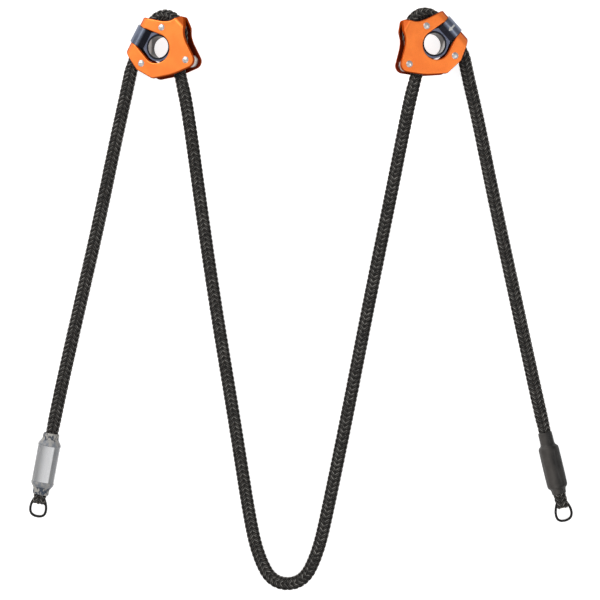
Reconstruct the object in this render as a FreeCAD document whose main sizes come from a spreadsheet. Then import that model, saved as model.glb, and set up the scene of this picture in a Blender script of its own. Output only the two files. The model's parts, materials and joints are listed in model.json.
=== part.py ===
import FreeCAD, Part
import math
import os
import re
from FreeCAD import Placement, Rotation, Vector

# A double-ended positioning lanyard lying on the ground: one braided rope, two rope grabs
# threaded on it, and a stop with a pull cord on each end of the rope.
#
# X runs across, from the left grab to the right one. Y points up the lanyard, from the bottom
# of its loop to the grabs. Z is up and the ground is z = 0. The origin is on the ground, in
# the middle of the two grabs.
#
# Each grab is drawn in its own frame and then laid down: x towards the roller, y towards the
# top pin, z through the eye, with its origin in the middle of the eye. "out" is the direction
# in which the cam slides, square to the fold of the frame, and "along" follows the fold.

SIZES = [
    ("rope_radius", 5.5, "braided rope"),
    ("rope_room", 1.6, "what the plates stand apart more than the rope's diameter"),
    ("plate_thickness", 3.1, "sheet that the frame is folded from"),
    ("fold_lean", 30.5, "angle between the fold and the y axis, degrees"),
    ("fold_centre", 18.8, "eye centre to the middle of the fold's bend"),
    ("frame_edge", 1.3, "rounding of the frame's outer edges"),
    ("window_x", -0.8, "round end of the window in the plates"),
    ("window_y", -1.7, "round end of the window in the plates"),
    ("window_radius", 13.0, "round end of the window in the plates"),
    ("slot_upper", 8.4, "upper side of the cam's slot through the fold"),
    ("slot_lower", -9.3, "lower side of the cam's slot through the fold"),
    ("ear_bend", 44.0, "angle that the ears are bent inwards, degrees"),
    ("ear_bend_radius", 0.8, "inner radius of the ears' bend"),
    ("ear_gap", 0.4, "room between the two bent ears"),
    ("cam_thickness", 2.7, "strap of the cam"),
    ("cam_side_gap", 0.2, "cam or roller to plate"),
    ("cam_slot_gap", 0.5, "cam strap to the sides of its slot"),
    ("eye_radius", 13.0, "round end of the cam"),
    ("crease_out", 12.4, "eye centre to the crease in the cam's side"),
    ("flare_out", 17.6, "eye centre to where the cam's side is straight again"),
    ("cam_half_width", 9.2, "half the width of the cam's bridge"),
    ("bridge_centre", 20.7, "eye centre to the middle of the bridge's bend"),
    ("bush_radius", 9.8, "bore of the eye"),
    ("bush_wall", 1.1, "wall of the bush in the eye"),
    ("bush_edge", 0.5, "rounding of the bush's mouth"),
    ("pin_radius", 2.5, "shank of each riveted pin"),
    ("head_radius", 3.1, "rivet head"),
    ("head_height", 1.1, "rivet head"),
    ("top_pin_x", 4.7, "pin under the top of the rope"),
    ("top_pin_y", 17.2, "pin under the top of the rope"),
    ("lower_pin_x", -15.8, "pin beside the free rope"),
    ("lower_pin_y", -14.6, "pin beside the free rope"),
    ("axle_x", 28.8, "axle of the roller"),
    ("axle_y", -13.1, "axle of the roller"),
    ("top_sleeve_radius", 4.0, "spacer on the top pin"),
    ("lower_sleeve_radius", 4.6, "spacer on the lower pin"),
    ("roller_radius", 5.6, "roller that the loaded rope leaves over"),
    ("roller_edge", 0.6, "rounding of the roller's rims"),
    ("rivet_gap", 0.02, "radial clearance of a pin's shank in the plates"),
    ("running_gap", 0.06, "radial clearance of a sleeve or roller on its pin"),
    ("bore_gap", 0.2, "radial clearance of the rope in its end stops"),
    ("left_grab_x", -123.97, "left eye"),
    ("left_grab_y", -2.86, "left eye"),
    ("left_tilt", -23.0, "left grab, about Y, degrees"),
    ("left_roll", 0.0, "left grab, about its own eye, degrees"),
    ("right_grab_x", 122.43, "right eye"),
    ("right_grab_y", 0.24, "right eye"),
    ("right_tilt", 16.0, "right grab, about Y, degrees"),
    ("right_roll", 13.3, "right grab, about its own eye, degrees"),
    ("left_stop_back", 36.4, "middle of the left stop to the rope's cut end"),
    ("right_stop_back", 38.0, "middle of the right stop to the rope's cut end"),
    ("ferrule_length", 37.0, "left stop: straight middle of the ferrule"),
    ("ferrule_radius", 9.6, "left stop: ferrule"),
    ("ferrule_shoulder", 4.0, "left stop: cone at each end of the ferrule"),
    ("ferrule_neck_radius", 6.6, "left stop: ends of the ferrule"),
    ("ferrule_neck_length", 5.5, "left stop: ends of the ferrule"),
    ("label_length", 33.0, "left stop: blank label under the sleeve"),
    ("label_wall", 0.2, "left stop: blank label under the sleeve"),
    ("clear_wall", 0.6, "left stop: shrunk sleeve"),
    ("knob_length", 36.0, "right stop: straight middle of the ferrule"),
    ("knob_radius", 8.6, "right stop: ferrule"),
    ("knob_chamfer", 1.5, "right stop: cone at each end of the ferrule"),
    ("knob_end_radius", 7.3, "right stop: ends of the ferrule"),
    ("rubber_wall", 0.65, "right stop: shrunk sleeve"),
    ("rubber_upper_neck", 13.0, "right stop: sleeve on the rope above the ferrule"),
    ("rubber_lower_neck", 5.5, "right stop: sleeve on the rope below the ferrule"),
    ("sleeve_gap", 0.1, "what a shrunk sleeve stands off what it covers"),
    ("pull_radius", 1.0, "pull cord"),
]

# The rope's route, from its left end to its right end, through both grabs.
ROPE_ROUTE = [
    (-236.3, -417.6, 10.7),
    (-223.6, -348.8, 10.7),
    (-206.6, -270.6, 9.8),
    (-182.3, -163.7, 5.5),
    (-166.3, -85.9, 5.5),
    (-156.6, -42.3, 5.6),
    (-150.7, -15.1, 8.2),
    (-136.2, 11.9, 14.4),
    (-129.1, 24.6, 17.4),
    (-116.6, 26.9, 22.7),
    (-105.2, 15.9, 27.6),
    (-105.0, -3.4, 27.6),
    (-108.5, -14.9, 26.1),
    (-108.0, -21.4, 26.4),
    (-105.3, -33.4, 27.0),
    (-101.2, -52.0, 26.0),
    (-96.3, -85.1, 20.5),
    (-88.5, -145.5, 9.5),
    (-76.1, -232.3, 5.5),
    (-57.2, -346.7, 5.5),
    (-45.2, -424.5, 5.5),
    (-37.2, -463.8, 5.5),
    (-23.1, -491.7, 5.5),
    (4.4, -491.7, 5.5),
    (18.6, -463.8, 5.5),
    (28.4, -419.9, 5.5),
    (44.4, -342.1, 5.5),
    (65.7, -232.3, 5.5),
    (83.4, -145.5, 8.0),
    (95.2, -84.8, 15.5),
    (101.5, -52.5, 20.0),
    (106.7, -31.9, 21.5),
    (109.7, -21.4, 20.6),
    (109.4, -15.3, 20.7),
    (103.3, -5.0, 22.4),
    (99.2, 13.8, 23.6),
    (108.4, 27.4, 21.0),
    (121.6, 28.3, 17.2),
    (131.6, 17.7, 14.3),
    (150.4, -3.0, 8.9),
    (155.0, -25.7, 7.2),
    (165.0, -67.6, 5.5),
    (179.6, -140.8, 5.5),
    (207.1, -268.9, 8.5),
    (224.2, -347.8, 9.4),
    (241.9, -421.7, 9.4),
]

# Each pull cord goes from one side of the rope, past its cut end, to the other side.
LEFT_PULL_ROUTE = [
    (-231.1, -414.5, 10.7),
    (-229.0, -421.5, 8.5),
    (-232.6, -431.5, 1.2),
    (-244.8, -429.3, 1.2),
    (-244.5, -418.6, 8.5),
    (-240.1, -412.8, 10.7),
]
RIGHT_PULL_ROUTE = [
    (245.4, -416.7, 9.4),
    (250.2, -422.3, 7.5),
    (251.0, -432.9, 1.2),
    (238.9, -435.8, 1.2),
    (234.8, -426.0, 7.5),
    (236.5, -418.9, 9.4),
]

doc = FreeCAD.newDocument("Lanyard")
sheet = doc.addObject("Spreadsheet::Sheet", "Sizes")
for row, (alias, value, note) in enumerate(SIZES, start=1):
    sheet.set("A%d" % row, note)
    sheet.set("B%d" % row, str(value))
    sheet.setAlias("B%d" % row, alias)
doc.recompute()

parts = []


def size(alias):
    return float(getattr(sheet, alias))


def cell(expression):
    """Puts the sheet's name before each size's name in an expression."""
    aliases = [alias for alias, value, note in SIZES]
    named = lambda word: "Sizes." + word[0] if word[0] in aliases else word[0]
    return re.sub("[a-z_]+", named, expression)


def finished(piece, label, placement):
    piece.Label = label
    piece.Placement = placement
    parts.append(piece)
    return piece


def cylinder(name, radius, height, bottom="0"):
    piece = doc.addObject("Part::Cylinder", name)
    piece.setExpression("Radius", cell(radius))
    piece.setExpression("Height", cell(height))
    piece.setExpression("Placement.Base.z", cell(bottom))
    return piece


def cone(name, radius_low, radius_high, height, bottom):
    piece = doc.addObject("Part::Cone", name)
    piece.setExpression("Radius1", cell(radius_low))
    piece.setExpression("Radius2", cell(radius_high))
    piece.setExpression("Height", cell(height))
    piece.setExpression("Placement.Base.z", cell(bottom))
    return piece


def fused(name, pieces):
    fuse = doc.addObject("Part::MultiFuse", name)
    fuse.Shapes = pieces
    fuse.Refine = True
    return fuse


def cut(name, base, tool):
    piece = doc.addObject("Part::Cut", name)
    piece.Base = base
    piece.Tool = tool
    return piece


def rounded(name, base, radius, chosen):
    """Rounds the edges of base for which chosen(edge) is true."""
    doc.recompute()
    fillet = doc.addObject("Part::Fillet", name)
    fillet.Base = base
    edges = enumerate(base.Shape.Edges, start=1)
    fillet.Edges = [(number, radius, radius) for number, edge in edges if chosen(edge)]
    return fillet


def turned(name, stations):
    """A turned solid about Z: each station is its height and its radius, as expressions."""
    pieces = []
    for (low, radius_low), (high, radius_high) in zip(stations, stations[1:]):
        label = "%s_%d" % (name, len(pieces))
        height = "( %s ) - ( %s )" % (high, low)
        if radius_low == radius_high:
            pieces.append(cylinder(label, radius_low, height, low))
        else:
            pieces.append(cone(label, radius_low, radius_high, height, low))
    return pieces[0] if len(pieces) == 1 else fused(name, pieces)


def circle_at(edge, radius):
    """True for a full circle of that radius."""
    return hasattr(edge.Curve, "Radius") and abs(edge.Curve.Radius - radius) < 1e-6


# Flat outlines, drawn in the grab's x and y.


def unit(start, end):
    step = end - start
    return step * (1.0 / step.Length)


def outline(corners):
    """A closed wire through the corners, each one (x, y, rounding radius)."""
    points = [Vector(x, y, 0) for x, y, radius in corners]
    edges = []
    ends = []
    for index, (x, y, radius) in enumerate(corners):
        corner = points[index]
        back = unit(corner, points[index - 1])
        ahead = unit(corner, points[(index + 1) % len(points)])
        if radius == 0:
            ends.append((corner, corner, None))
            continue
        half = back.getAngle(ahead) / 2
        reach = radius / math.tan(half)
        middle = corner + unit(Vector(0, 0, 0), back + ahead) * (radius / math.sin(half) - radius)
        ends.append((corner + back * reach, corner + ahead * reach, middle))
    for index, (start, end, middle) in enumerate(ends):
        previous = ends[index - 1][1]
        if (start - previous).Length > 1e-6:
            edges.append(Part.LineSegment(previous, start).toShape())
        if middle is not None:
            edges.append(Part.Arc(start, middle, end).toShape())
    return Part.Wire(Part.__sortEdges__(edges))


def slab(wire, half_depth):
    """The wire's face made half_depth thick to each side of the grab's middle."""
    face = Part.Face(wire)
    face.translate(Vector(0, 0, -half_depth))
    return face.extrude(Vector(0, 0, 2 * half_depth))


def tangent_point(centre, radius, point, side):
    """Where the tangent from point touches the circle, on its left (1) or right (-1) side."""
    away = point - centre
    angle = side * math.acos(radius / away.Length)
    direction = Rotation(Vector(0, 0, 1), math.degrees(angle)).multVec(unit(centre, point))
    return centre + direction * radius


# What the rope's diameter gives: the room between the frame's two plates.
PLATE_GAP = "( 2 * rope_radius + rope_room )"
INNER = size("rope_radius") + size("rope_room") / 2
HALF_TOTAL = INNER + size("plate_thickness")

lean = math.radians(size("fold_lean"))
ALONG = Vector(math.sin(lean), math.cos(lean), 0)
OUT = Vector(-math.cos(lean), math.sin(lean), 0)
UP = Vector(0, 0, 1)
# Sheets are drawn this much larger than the frame and then cut to its outline.
SHEET_REACH = 50.0
# Cutting tools pass this much beyond what they cut.
PAST = 1.0


def grab_point(out, along):
    return OUT * out + ALONG * along


def extruded_profile(points):
    """A profile of (out, up) points, pushed along the fold to both sides."""
    base = ALONG * -SHEET_REACH
    wire = Part.makePolygon([base + OUT * out + UP * up for out, up in points + points[:1]])
    return Part.Face(wire).extrude(ALONG * (2 * SHEET_REACH))


def u_section(inner, thickness, centre, mouth):
    """Two flat sides joined by a half-round bend about centre, as a strap folded once."""
    outer = inner + thickness
    solids = []
    for side in (1, -1):
        low, high = sorted((side * inner, side * outer))
        flat = [(mouth, low), (centre, low), (centre, high), (mouth, high)]
        solids.append(extruded_profile(flat))
    base = grab_point(centre, -SHEET_REACH)
    bend = Part.makeCylinder(outer, 2 * SHEET_REACH, base, ALONG)
    bend = bend.cut(Part.makeCylinder(inner, 2 * SHEET_REACH, base, ALONG))
    far = centre + outer + PAST
    high = outer + PAST
    bend = bend.common(extruded_profile([(centre, -high), (far, -high), (far, high), (centre, high)]))
    return solids[0].fuse([solids[1], bend])


PLATE_OUTLINE = [
    (-19.6, 28.8, 0),
    (3.5, 23.3, 40),
    (12.3, 22.4, 14),
    (23.9, 28.2, 2.6),
    (26.8, 17.5, 9),
    (26.6, 9.5, 18),
    (29.0, 3.0, 24),
    (39.6, -16.9, 6.9),
    (15.5, -25.7, 60),
    (-5.2, -28.7, 4.5),
    (-20.6, -20.2, 5),
    (-36.0, 1.6, 0),
]
CREASE_START = Vector(17.0, 24.0, 0)
CREASE_END = Vector(26.4, 14.1, 0)


def window_slab():
    """The round window for the eye, with the slot that carries the cam's strap outwards."""
    centre = Vector(size("window_x"), size("window_y"), 0)
    radius = size("window_radius")
    depth = HALF_TOTAL + PAST
    beyond = size("fold_centre") + HALF_TOTAL + PAST
    round_end = Part.makeCylinder(radius, 2 * depth, centre - UP * depth, UP)
    upper = grab_point(size("fold_centre"), size("slot_upper"))
    lower = grab_point(size("fold_centre"), size("slot_lower"))
    corners = [
        grab_point(beyond, size("slot_upper")),
        upper,
        tangent_point(centre, radius, upper, -1),
        centre,
        tangent_point(centre, radius, lower, 1),
        lower,
        grab_point(beyond, size("slot_lower")),
    ]
    wedge = slab(Part.makePolygon(corners + corners[:1]), depth)
    return round_end.fuse(wedge)


def frame_solid():
    body = u_section(INNER, size("plate_thickness"), size("fold_centre"), -SHEET_REACH)
    crease = unit(CREASE_START, CREASE_END)
    beyond = Vector(-crease.y, crease.x, 0)
    corner = [CREASE_START - crease * SHEET_REACH, CREASE_START + crease * SHEET_REACH]
    corner += [corner[1] + beyond * SHEET_REACH, corner[0] + beyond * SHEET_REACH]
    body = body.cut(slab(Part.makePolygon(corner + corner[:1]), HALF_TOTAL + PAST))
    body = body.fuse([ear_slab(side, crease, beyond) for side in (1, -1)])
    body = body.common(slab(outline(PLATE_OUTLINE), HALF_TOTAL + PAST))
    body = body.cut(window_slab()).removeSplitter()
    for x, y in (("top_pin_x", "top_pin_y"), ("lower_pin_x", "lower_pin_y"), ("axle_x", "axle_y")):
        depth = HALF_TOTAL + PAST
        start = Vector(size(x), size(y), -depth)
        radius = size("pin_radius") + size("rivet_gap")
        body = body.cut(Part.makeCylinder(radius, 2 * depth, start, UP))
    return body


def ear_slab(side, crease, beyond):
    """One plate's corner past the crease, bent inwards until it nearly meets the other's."""
    bend = math.radians(size("ear_bend"))
    small = size("ear_bend_radius")
    large = small + size("plate_thickness")
    middle = INNER - small

    def bent(radius, angle):
        rise = middle + radius * math.cos(angle)
        return start + beyond * (radius * math.sin(angle)) + UP * (side * rise)

    start = CREASE_START - crease * SHEET_REACH
    slope = beyond * math.cos(bend) - UP * (side * math.sin(bend))
    drop = slope * (HALF_TOTAL / math.sin(bend))
    edges = [
        Part.LineSegment(bent(small, 0), bent(large, 0)).toShape(),
        Part.Arc(bent(large, 0), bent(large, bend / 2), bent(large, bend)).toShape(),
        Part.LineSegment(bent(large, bend), bent(large, bend) + drop).toShape(),
        Part.LineSegment(bent(large, bend) + drop, bent(small, bend) + drop).toShape(),
        Part.LineSegment(bent(small, bend) + drop, bent(small, bend)).toShape(),
        Part.Arc(bent(small, bend), bent(small, bend / 2), bent(small, 0)).toShape(),
    ]
    profile = Part.Face(Part.Wire(Part.__sortEdges__(edges)))
    ear = profile.extrude(crease * (2 * SHEET_REACH))
    corner = Vector(-SHEET_REACH, -SHEET_REACH, size("ear_gap") / 2)
    keep = Part.makeBox(2 * SHEET_REACH, 2 * SHEET_REACH, HALF_TOTAL + PAST, corner)
    if side < 0:
        keep = keep.mirror(Vector(0, 0, 0), UP)
    return ear.common(keep)


def cam_solid():
    """The eye's two flat sides, flared past a crease and joined by the half-round bridge."""
    outer = INNER - size("cam_side_gap")
    thickness = size("cam_thickness")
    crease = size("crease_out")
    flare = size("flare_out")
    width = size("cam_half_width")
    centre = size("bridge_centre")
    angle = math.atan2(width - outer, flare - crease)
    shift = thickness * math.tan(angle / 2)
    low = size("slot_lower") + size("cam_slot_gap")
    high = size("slot_upper") - size("cam_slot_gap")
    mouth = -size("eye_radius") - PAST
    sides = []
    for side in (1, -1):
        profile = [(mouth, outer), (crease, outer), (flare, width), (centre, width)]
        profile += [(centre, width - thickness), (flare + shift, width - thickness)]
        profile += [(crease + shift, outer - thickness), (mouth, outer - thickness)]
        profile = [(out, side * up) for out, up in profile]
        sides.append(extruded_profile(profile))
    bend = u_section(width - thickness, thickness, centre, centre - PAST)
    strap = sides[0].fuse([sides[1], bend])
    depth = width + PAST
    beyond = centre + width + PAST
    eye = Part.makeCylinder(size("eye_radius"), 2 * depth, -UP * depth, UP)
    origin = Vector(0, 0, 0)
    upper = grab_point(crease, high)
    lower = grab_point(crease, low)
    corners = [
        grab_point(beyond, high),
        upper,
        tangent_point(origin, size("eye_radius"), upper, -1),
        origin,
        tangent_point(origin, size("eye_radius"), lower, 1),
        lower,
        grab_point(beyond, low),
    ]
    shape = eye.fuse(slab(Part.makePolygon(corners + corners[:1]), depth))
    hole = Part.makeCylinder(size("bush_radius") + size("bush_wall"), 2 * depth, -UP * depth, UP)
    return strap.common(shape).cut(hole).removeSplitter()


def feature(name, shape):
    piece = doc.addObject("Part::Feature", name)
    piece.Shape = shape
    return piece


def pin(side, name):
    """A rivet through both plates: a shank with a low dome on each end."""
    total = "( %s + 2 * plate_thickness )" % PLATE_GAP
    shank = cylinder("%s_%s_shank" % (side, name), "pin_radius", total, "-( %s ) / 2" % total)
    pieces = [shank]
    dome = "( head_radius ^ 2 + head_height ^ 2 ) / ( 2 * head_height )"
    for end, turn in (("front", 0), ("back", 180)):
        head = doc.addObject("Part::Sphere", "%s_%s_%s_head" % (side, name, end))
        head.setExpression("Radius", cell(dome))
        head.setExpression("Angle1", cell("asin( 1 - head_height / ( %s ) )" % dome))
        head.Placement.Rotation = Rotation(Vector(1, 0, 0), turn)
        sign = "1" if turn == 0 else "-1"
        seat = "%s * ( ( %s ) / 2 - ( ( %s ) - head_height ) )" % (sign, total, dome)
        head.setExpression("Placement.Base.z", cell(seat))
        pieces.append(head)
    return fused("%s_%s" % (side, name), pieces)


def ring(side, name, outer, inner, length):
    """A plain tube about Z, centred on the middle of the grab."""
    bottom = "-( %s ) / 2" % length
    tube = cylinder("%s_%s_outside" % (side, name), outer, length, bottom)
    bore = cylinder("%s_%s_bore" % (side, name), inner, length, bottom)
    return cut("%s_%s" % (side, name), tube, bore)


def edge_on_outer_face(edge):
    """True for an edge that lies in one of the frame's two outer faces."""
    box = edge.BoundBox
    on_face = min(abs(box.ZMin), abs(box.ZMax)) > HALF_TOTAL - 1e-4 and box.ZLength < 1e-4
    return on_face and not circle_at(edge, size("pin_radius") + size("rivet_gap"))


def grab_placement(side, height):
    """Lays a grab down: turned over for the right side, rolled, tilted and set at its place."""
    turned_over = Rotation(Vector(0, 1, 0), 180 if side == "right" else 0)
    rolled = Rotation(Vector(0, 0, 1), size(side + "_roll"))
    tilted = Rotation(Vector(0, 1, 0), size(side + "_tilt"))
    base = Vector(size(side + "_grab_x"), size(side + "_grab_y"), height)
    return Placement(base, tilted.multiply(rolled).multiply(turned_over))


def build_grab(side):
    frame = feature(side + "_frame", frame_shape)
    cam = feature(side + "_cam", cam_shape)
    laid = grab_placement(side, 0.0)
    resting = frame_shape.copy()
    resting.Placement = laid
    height = -resting.optimalBoundingBox(False, False).ZMin
    laid = grab_placement(side, height)
    cam_width = "( %s - 2 * cam_side_gap )" % PLATE_GAP
    bush = ring(side, "plain_eye_bush", "bush_radius + bush_wall", "bush_radius", cam_width)
    bush = rounded(side + "_eye_bush", bush, size("bush_edge"), is_bush_mouth)
    bore = "pin_radius + running_gap"
    pieces = [
        (frame, "frame", (0, 0)),
        (cam, "cam", (0, 0)),
        (bush, "eye_bush", (0, 0)),
    ]
    places = {
        "top_pin": ("top_pin_x", "top_pin_y"),
        "lower_pin": ("lower_pin_x", "lower_pin_y"),
        "roller_axle": ("axle_x", "axle_y"),
    }
    for name, (x, y) in places.items():
        pieces.append((pin(side, name), name, (size(x), size(y))))
    top = ring(side, "top_sleeve", "top_sleeve_radius", bore, cam_width)
    pieces.append((top, "top_sleeve", (size("top_pin_x"), size("top_pin_y"))))
    lower = ring(side, "lower_sleeve", "lower_sleeve_radius", bore, cam_width)
    pieces.append((lower, "lower_sleeve", (size("lower_pin_x"), size("lower_pin_y"))))
    roller = ring(side, "plain_roller", "roller_radius", bore, cam_width)
    roller = rounded(side + "_roller", roller, size("roller_edge"), is_roller_rim)
    pieces.append((roller, "roller", (size("axle_x"), size("axle_y"))))
    doc.recompute()
    for piece, name, (x, y) in pieces:
        place = laid.multiply(Placement(Vector(x, y, 0), Rotation()))
        finished(piece, "%s_%s" % (side, name), place)
    middle = laid.Base
    out = laid.Rotation.multVec(OUT)
    eye = laid.Rotation.multVec(UP)
    axle = laid.multVec(Vector(size("axle_x"), size("axle_y"), 0))
    print(side, "eye centre", middle, "eye axis", eye)
    print(side, "cam slides out along", out, "roller axle at", axle)


def is_bush_mouth(edge):
    return circle_at(edge, size("bush_radius"))


def is_roller_rim(edge):
    return circle_at(edge, size("roller_radius"))


# The rope: straight runs joined by tangent arcs, each as large as its two runs allow.


def rope_arcs(route):
    """The path through the route's points, and the radius of the arc at each one between."""
    points = [Vector(*point) for point in route]
    edges = []
    radii = []
    last = points[0]
    for before, corner, after in zip(points, points[1:], points[2:]):
        back = unit(corner, before)
        ahead = unit(corner, after)
        turn = math.pi - back.getAngle(ahead)
        reach = 0.45 * min((before - corner).Length, (after - corner).Length)
        radius = reach / math.tan(turn / 2)
        inwards = unit(Vector(0, 0, 0), back + ahead)
        middle = corner + inwards * (radius / math.cos(turn / 2) - radius)
        edges.append(Part.LineSegment(last, corner + back * reach).toShape())
        edges.append(Part.Arc(corner + back * reach, middle, corner + ahead * reach).toShape())
        last = corner + ahead * reach
        radii.append(radius)
    edges.append(Part.LineSegment(last, points[-1]).toShape())
    return Part.Wire(edges), radii


def rope_tube(route, radius):
    """The tube of that radius along the route, checked against its section times its length."""
    path, radii = rope_arcs(route)
    points = [Vector(*point) for point in route]
    circle = Part.Circle(points[0], points[1] - points[0], radius).toShape()
    tube = path.makePipe(Part.Face(Part.Wire([circle])))
    expected = math.pi * radius ** 2 * path.Length
    if abs(tube.Volume / expected - 1) > 0.005:
        raise RuntimeError("the tube's volume is %.1f, not %.1f" % (tube.Volume, expected))
    print("length", round(path.Length, 1), "arc radii", [round(radius, 1) for radius in radii])
    return tube


# The end stops. Each is drawn along Z, from the strand (-) to the rope's cut end (+).


def stop_placement(end, inner, back):
    """The place of a stop whose middle is that far back from the rope's end."""
    end = Vector(*end)
    direction = unit(Vector(*inner), end)
    side = unit(Vector(0, 0, 0), UP.cross(direction))
    turn = Rotation(side, UP, direction, "ZXY")
    return Placement(end - direction * back, turn)


def hollow(name, outside, inside):
    return cut(name, turned(name + "_outside", outside), turned(name + "_inside", inside))


def widened(stations, gap):
    return [(place, "%s + %s" % (radius, gap)) for place, radius in stations]


def build_left_stop():
    half = "ferrule_length / 2"
    shoulder = "ferrule_length / 2 + ferrule_shoulder"
    tip = "ferrule_length / 2 + ferrule_shoulder + ferrule_neck_length"
    profile = [
        ("-( %s )" % tip, "ferrule_neck_radius"),
        ("-( %s )" % shoulder, "ferrule_neck_radius"),
        ("-( %s )" % half, "ferrule_radius"),
        (half, "ferrule_radius"),
        (shoulder, "ferrule_neck_radius"),
        (tip, "ferrule_neck_radius"),
    ]
    bore = "rope_radius + bore_gap"
    bored = [("-( %s )" % tip, bore), (tip, bore)]
    place = stop_placement(ROPE_ROUTE[0], ROPE_ROUTE[1], size("left_stop_back"))
    ferrule = hollow("left_ferrule", profile, bored)
    finished(ferrule, "left_ferrule", place)
    half_label = "label_length / 2"
    inner = "ferrule_radius + sleeve_gap"
    around = [("-( %s )" % half_label, inner), (half_label, inner)]
    label = hollow("left_label", widened(around, "label_wall"), around)
    finished(label, "left_label", place)
    stand_off = "2 * sleeve_gap + label_wall"
    covered = widened(profile, stand_off)
    sleeve = hollow("left_sleeve", widened(covered, "clear_wall"), covered)
    finished(sleeve, "left_sleeve", place)
    cord = feature("left_pull_cord", rope_tube(LEFT_PULL_ROUTE, size("pull_radius")))
    finished(cord, "left_pull_cord", Placement())


def build_right_stop():
    half = "knob_length / 2"
    tip = "knob_length / 2 + knob_chamfer"
    profile = [
        ("-( %s )" % tip, "knob_end_radius"),
        ("-( %s )" % half, "knob_radius"),
        (half, "knob_radius"),
        (tip, "knob_end_radius"),
    ]
    bore = "rope_radius + bore_gap"
    place = stop_placement(ROPE_ROUTE[-1], ROPE_ROUTE[-2], size("right_stop_back"))
    bored = [("-( %s )" % tip, bore), (tip, bore)]
    ferrule = hollow("right_ferrule", profile, bored)
    finished(ferrule, "right_ferrule", place)
    knee = tip + " + knob_chamfer"
    covered = [
        ("-( %s + rubber_upper_neck )" % tip, bore),
        ("-( %s )" % knee, bore),
        ("-( %s + sleeve_gap )" % tip, "knob_end_radius + sleeve_gap"),
        ("-( %s )" % half, "knob_radius + sleeve_gap"),
        (half, "knob_radius + sleeve_gap"),
        ("%s + sleeve_gap" % tip, "knob_end_radius + sleeve_gap"),
        (knee, bore),
        ("%s + rubber_lower_neck" % tip, bore),
    ]
    sleeve = hollow("right_sleeve", widened(covered, "rubber_wall"), covered)
    finished(sleeve, "right_sleeve", place)
    cord = feature("right_pull_cord", rope_tube(RIGHT_PULL_ROUTE, size("pull_radius")))
    finished(cord, "right_pull_cord", Placement())


frame_shape = frame_solid()
frame_rims = [edge for edge in frame_shape.Edges if edge_on_outer_face(edge)]
frame_shape = frame_shape.makeFillet(size("frame_edge"), frame_rims)
cam_shape = cam_solid()
for grab_side in ("left", "right"):
    build_grab(grab_side)
rope = feature("rope", rope_tube(ROPE_ROUTE, size("rope_radius")))
finished(rope, "rope", Placement())
build_left_stop()
build_right_stop()

doc.recompute()
for item in doc.Objects:
    if "Invalid" in item.State or "Error" in item.State:
        raise RuntimeError("%s did not build: %s" % (item.Name, item.State))
os.makedirs("parts", exist_ok=True)
for piece in parts:
    shape = piece.Shape
    if shape.isNull() or not shape.isValid() or not shape.Solids:
        raise RuntimeError("%s has no valid solid" % piece.Label)
    shape.exportStep("parts/%s.step" % piece.Label)
    print(piece.Label, len(shape.Solids), round(shape.Volume, 1))
print(len(parts), "pieces written")
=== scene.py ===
import json
import math

import bpy
import numpy as np
from mathutils import Matrix, Vector


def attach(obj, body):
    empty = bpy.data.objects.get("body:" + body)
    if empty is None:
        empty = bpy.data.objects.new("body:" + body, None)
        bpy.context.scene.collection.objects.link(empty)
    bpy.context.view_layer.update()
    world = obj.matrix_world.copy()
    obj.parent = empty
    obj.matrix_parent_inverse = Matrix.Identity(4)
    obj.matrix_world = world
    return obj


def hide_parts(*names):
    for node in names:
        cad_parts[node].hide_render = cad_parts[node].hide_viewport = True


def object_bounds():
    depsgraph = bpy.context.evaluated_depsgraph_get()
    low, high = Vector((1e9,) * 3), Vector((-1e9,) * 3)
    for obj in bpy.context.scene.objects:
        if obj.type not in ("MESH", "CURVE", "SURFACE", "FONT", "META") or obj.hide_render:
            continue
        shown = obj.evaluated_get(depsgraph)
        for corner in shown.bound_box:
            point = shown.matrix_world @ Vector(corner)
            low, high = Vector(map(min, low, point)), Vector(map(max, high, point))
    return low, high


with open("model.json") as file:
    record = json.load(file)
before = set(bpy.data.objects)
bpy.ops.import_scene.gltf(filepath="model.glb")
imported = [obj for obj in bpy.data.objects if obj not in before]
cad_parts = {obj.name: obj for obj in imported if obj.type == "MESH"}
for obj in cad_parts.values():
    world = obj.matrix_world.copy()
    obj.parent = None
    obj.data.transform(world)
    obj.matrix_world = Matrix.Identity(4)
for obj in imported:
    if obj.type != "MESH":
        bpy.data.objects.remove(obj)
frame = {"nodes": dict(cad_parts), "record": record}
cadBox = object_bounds()
print("frame loaded")

mm = 0.001
record = frame["record"]
joints = {joint["name"]: joint for joint in record["behaviour"]["joints"]}
mounts = {mount["name"]: mount for mount in record["mounts"]}


def plug(value, socket):
    # another node's output is linked, a plain value is set, and None leaves the socket alone
    if isinstance(value, bpy.types.NodeSocket):
        socket.id_data.links.new(value, socket)
    elif value is not None:
        socket.default_value = value


def plugColour(value, socket):
    plug((*value, 1) if isinstance(value, tuple) else value, socket)


def mathNode(operation, a, b=None):
    # new nodes go in the tree that the first value comes from
    node = a.id_data.nodes.new("ShaderNodeMath")
    node.operation = operation
    plug(a, node.inputs[0])
    plug(b, node.inputs[1])
    return node.outputs[0]


def vectorNode(operation, a, b=None, output="Vector"):
    node = a.id_data.nodes.new("ShaderNodeVectorMath")
    node.operation = operation
    plug(a, node.inputs[0])
    plug(b, node.inputs[1])
    return node.outputs[output]


def dotNode(a, b):
    return vectorNode("DOT_PRODUCT", a, b, "Value")


def product(value, *others):
    for other in others:
        value = mathNode("MULTIPLY", value, other)
    return value


def awayFrom(value, middle):
    return mathNode("ABSOLUTE", mathNode("SUBTRACT", value, middle))


def mixColour(factor, a, b):
    node = factor.id_data.nodes.new("ShaderNodeMix")
    node.data_type = "RGBA"
    plug(factor, node.inputs["Factor"])
    plugColour(a, node.inputs["A"])
    plugColour(b, node.inputs["B"])
    return node.outputs["Result"]


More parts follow.
